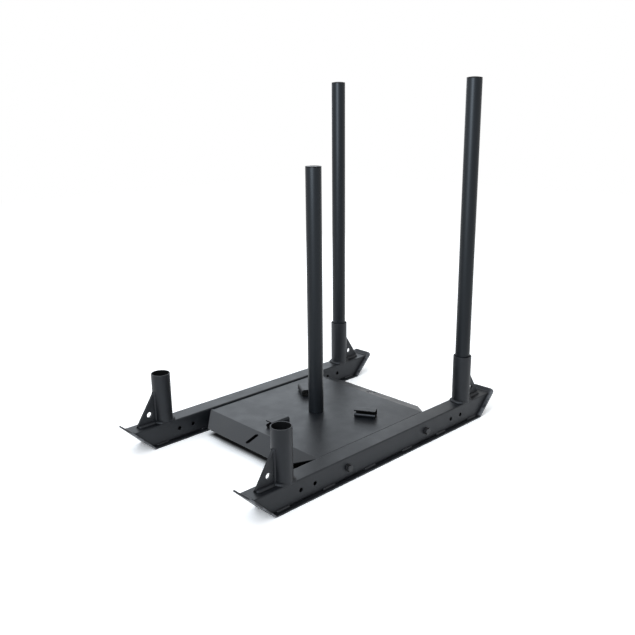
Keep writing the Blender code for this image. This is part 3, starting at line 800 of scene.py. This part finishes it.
def straightBead(start, end, toFoot, toCrest, leg):
    start, end = np.array(start, float), np.array(end, float)
    length = np.linalg.norm(end - start)
    run, size = tapered(max(int(length / weldShape["step"]), 12), length, leg)
    corner = start + (end - start) * (run / length)[:, None]
    return weldBead(corner, corner + np.array(toFoot) * size, corner + np.array(toCrest) * size)


def shoulderDrop(x, half, corner):
    # How far the rail's rounded shoulder lies under its top, at a distance from its middle;
    # it stops just short of the upright side
    past = np.clip(np.abs(x) - (half - corner), 0, corner * 0.98)
    return corner - np.sqrt(corner ** 2 - past ** 2)


def makeSocketWelds(endName, end, sideName):
    shape = weldShape
    label = f"{endName}_{sideName}"
    low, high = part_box(label + "_socket")
    railLow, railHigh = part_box(sideName + "_rail_tube")
    gussetLow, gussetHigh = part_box(label + "_gusset")
    middle, centreY, top = (low[0] + high[0]) / 2, (low[1] + high[1]) / 2, railHigh[2]
    radius, halfRail = (high[0] - low[0]) / 2, (railHigh[0] - railLow[0]) / 2

    # Ring round the socket's foot, drawn in where it would pass the rail's side
    angle = np.linspace(0, 2 * np.pi, shape["turnSteps"], endpoint=False)
    ray = np.stack([np.cos(angle), np.sin(angle)], axis=-1)
    room = (halfRail - touchGap) / np.maximum(np.abs(ray[:, 0]), 1e-3)
    reach = np.maximum(np.minimum(radius + shape["socketLeg"], room), radius + shape["leastLeg"])

    def onRail(distance):
        x = ray[:, 0] * distance
        height = top - shoulderDrop(x, halfRail, railShape["corner"])
        return np.stack([middle + x, centreY + ray[:, 1] * distance, height], axis=-1)

    corner, foot = onRail(radius - shape["sunk"]), onRail(reach)
    crest, least = corner.copy(), shape["leastCrest"]
    crest[:, 2] = top + shape["socketLeg"] * least + (1 - least) * (reach - radius)
    addPiece(label + "_socket_weld", [weldBead(corner, foot, crest, True)], **coat)

    # Beads along both sides of the gusset: on the rail and up the socket's wall
    thick = (gussetHigh[0] - gussetLow[0]) / 2
    near, far = (gussetLow[1], gussetHigh[1]) if end > 0 else (gussetHigh[1], gussetLow[1])
    leg, seam = shape["gussetLeg"], shape["seamLeg"]
    wallY = centreY + end * math.sqrt(radius ** 2 - thick ** 2)
    nearY, farY = near + end * shape["gussetFrom"], far + end * shape["gussetPast"]
    seamFoot, seamTop = top + shape["seamFrom"], gussetHigh[2] - shape["seamTo"]
    back = -end * seam * shape["seamLean"]
    sheets = []
    for side in (-1, 1):
        face = middle + side * thick
        sheets.append(straightBead((face, nearY, top), (face, farY, top),
                                   (side * leg, 0, 0), (0, 0, leg), leg))
        sheets.append(straightBead((face, wallY, seamFoot), (face, wallY, seamTop),
                                   (side * seam, back, 0), (0, end * seam, 0), seam))
    addPiece(label + "_gusset_welds", sheets, **coat)

    # Bead across the mitre, where the rail's top meets the upturned shoe
    lip = railHigh[1] if end > 0 else railLow[1]
    across, upward = halfRail - shape["endIn"], shape["endUp"]
    sheet = straightBead((middle - across, lip, top), (middle + across, lip, top),
                         (0, -end * shape["endFoot"], 0), (0, end * upward, upward), shape["endTaper"])
    addPiece(label + "_end_weld", [sheet], **coat)


for endName, end in ends.items():
    for sideName in sides:
        makeSocketWelds(endName, end, sideName)


def makeStitches(sideName):
    shape = weldShape
    railLow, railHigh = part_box(sideName + "_rail_tube")
    half, shoeTop = shape["stitchLength"] / 2, shoeShape["thickness"]
    sheets = []
    for face, out in ((railLow[0], -1), (railHigh[0], 1)):
        x = face - out * shape["stitchIn"]
        toFoot = (out * shape["stitchFoot"], 0, 0)
        toCrest = (out * shape["stitchLean"], 0, shape["stitchUp"])
        for y in (end * place for place in shape["stitchesAt"] for end in (-1, 1)):
            sheets.append(straightBead((x, y - half, shoeTop), (x, y + half, shoeTop), toFoot, toCrest,
                                       shape["stitchUp"]))
    addPiece(sideName + "_shoe_welds", sheets, **coat)


for sideName in sides:
    makeStitches(sideName)
print("welds made")


# Floor, backdrop and light
stageLook = {"floorSize": 14.0, "floorColour": 0.85, "floorRoughness": 0.9, "seenColour": 1.36,
             "worldLight": 0.74, "seenWorld": 1.0, "shadeHalf": (0.238, 0.296), "shadeSoft": 0.030,
             "shadeTone": 0.02}
lampLooks = {
    "behindLeft": {"place": (-2.77, 1.94, 1.53), "target": (0, 0, 0.3), "size": (2.6, 1.4), "power": 22,
                   "tint": (0.80, 0.90, 1.0), "spread": 180},
    "cameraLeft": {"place": (0.64, -1.40, 1.35), "target": (0, 0.1, 1.1), "size": (0.8, 1.1), "power": 16,
                   "tint": (0.84, 0.92, 1.0), "spread": 100},
    "leftHigh": {"place": (-1.94, -0.75, 1.97), "target": (0, 0, 0.1), "size": (1.2, 1.0), "power": 12,
                 "tint": (0.84, 0.92, 1.0), "spread": 180},
}


def seenRay(tree):
    # 1 for camera, glossy and transmission rays, so that reflections show the same background
    path = tree.nodes.new("ShaderNodeLightPath")
    mirrored = addMath(tree, "MAXIMUM", path, "Is Camera Ray", (path, "Is Glossy Ray"))
    return addMath(tree, "MAXIMUM", mirrored, "Value", (path, "Is Transmission Ray"))


def addSeenChoice(tree, lighting, seen):
    # One value for the rays that light the sled, another for the rays that show the background
    choice = tree.nodes.new("ShaderNodeMapRange")
    choice.inputs["To Min"].default_value = lighting
    choice.inputs["To Max"].default_value = seen
    linkNodes(tree, seenRay(tree), "Value", choice, "Value")
    return choice


def addVectorMath(tree, operation, source, output, second=(0, 0, 0)):
    step = tree.nodes.new("ShaderNodeVectorMath")
    step.operation = operation
    step.inputs[1].default_value = second
    linkNodes(tree, source, output, step, 0)
    return step


def underShade(tree, look):
    # Darkens the floor under the sled: the distance outside a rounded rectangle, spread from shadeTone to 1
    core = [half - look["shadeSoft"] for half in look["shadeHalf"]]
    place = tree.nodes.new("ShaderNodeTexCoord")
    absolute = addVectorMath(tree, "ABSOLUTE", place, "Object")
    outside = addVectorMath(tree, "SUBTRACT", absolute, "Vector", (*core, 0))
    clipped = addVectorMath(tree, "MAXIMUM", outside, "Vector")
    distance = addVectorMath(tree, "LENGTH", clipped, "Vector")
    spread = tree.nodes.new("ShaderNodeMapRange")
    spread.interpolation_type = "SMOOTHSTEP"
    spread.inputs["From Max"].default_value = look["shadeSoft"]
    spread.inputs["To Min"].default_value = look["shadeTone"]
    linkNodes(tree, distance, "Value", spread, "Value")
    return spread


def addFloor(look):
    half = look["floorSize"] / 2
    line = np.linspace(-half, half, 9)
    mesh = makeMesh("floor", [placedGrid(line[:, None], line[None], 0.0)])
    if mesh.polygons[0].normal.z < 0:
        mesh.flip_normals()
    floor = bpy.data.objects.new("floor", mesh)
    bpy.context.scene.collection.objects.link(floor)
    material = bpy.data.materials.new("studioFloor")
    material.use_nodes = True
    tree = material.node_tree
    shader = tree.nodes["Principled BSDF"]
    shader.inputs["Roughness"].default_value = look["floorRoughness"]
    shader.inputs["Specular IOR Level"].default_value = 0.0
    paleness = addSeenChoice(tree, look["floorColour"], look["seenColour"])
    shaded = addMath(tree, "MULTIPLY", paleness, "Result", (underShade(tree, look), "Result"))
    linkNodes(tree, shaded, "Value", shader, "Base Color")
    mesh.materials.append(material)


def addWorld(look):
    world = bpy.data.worlds.new("studio")
    bpy.context.scene.world = world
    world.use_nodes = True
    tree = world.node_tree
    light = tree.nodes["Background"]
    light.inputs["Color"].default_value = (1, 1, 1, 1)
    strength = addSeenChoice(tree, look["worldLight"], look["seenWorld"])
    linkNodes(tree, strength, "Result", light, "Strength")


def addLamp(name, look):
    lamp = bpy.data.lights.new(name, "AREA")
    lamp.shape = "RECTANGLE"
    lamp.size, lamp.size_y = look["size"]
    lamp.energy, lamp.color, lamp.spread = look["power"], look["tint"], math.radians(look["spread"])
    holder = bpy.data.objects.new(name, lamp)
    bpy.context.scene.collection.objects.link(holder)
    aim = Vector(look["target"]) - Vector(look["place"])
    holder.rotation_euler = aim.to_track_quat("-Z", "Y").to_euler()
    holder.location = look["place"]


addFloor(stageLook)
addWorld(stageLook)
for name, look in lampLooks.items():
    addLamp(name, look)
print("floor and light set")

print("pieces finished")
